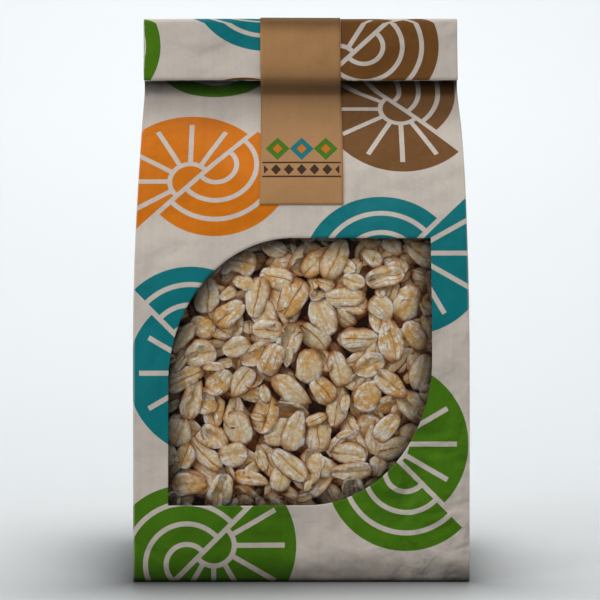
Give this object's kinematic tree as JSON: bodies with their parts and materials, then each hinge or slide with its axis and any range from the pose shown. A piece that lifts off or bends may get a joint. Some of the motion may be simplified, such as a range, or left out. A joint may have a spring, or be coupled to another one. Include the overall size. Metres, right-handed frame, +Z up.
{
  "type": "paper pack of rolled oats",
  "caption": "Upright side-gusset paper pack of rolled oats with a clear leaf-shaped window, a folded-over top and a plain kraft seal strip.",
  "frame": {"origin": "middle of the flat bottom, on the surface that the pack stands on", "axes": "+Z up from the bottom to the folded top, -Y out of the front panel with the window, +X to the right as seen from the front"},
  "size_m": [0.1022, 0.0614, 0.1737],
  "materials": {
    "bag_paper": "matte",
    "clear_film": "gloss",
    "oat_flakes": "matte",
    "strip_paper": "matte"
  },
  "bodies": {
    "root": {"paper_bag": "bag_paper", "window_film": "clear_film", "rolled_oats": "oat_flakes", "seal_strip": "strip_paper"}
  },
  "joints": []
}
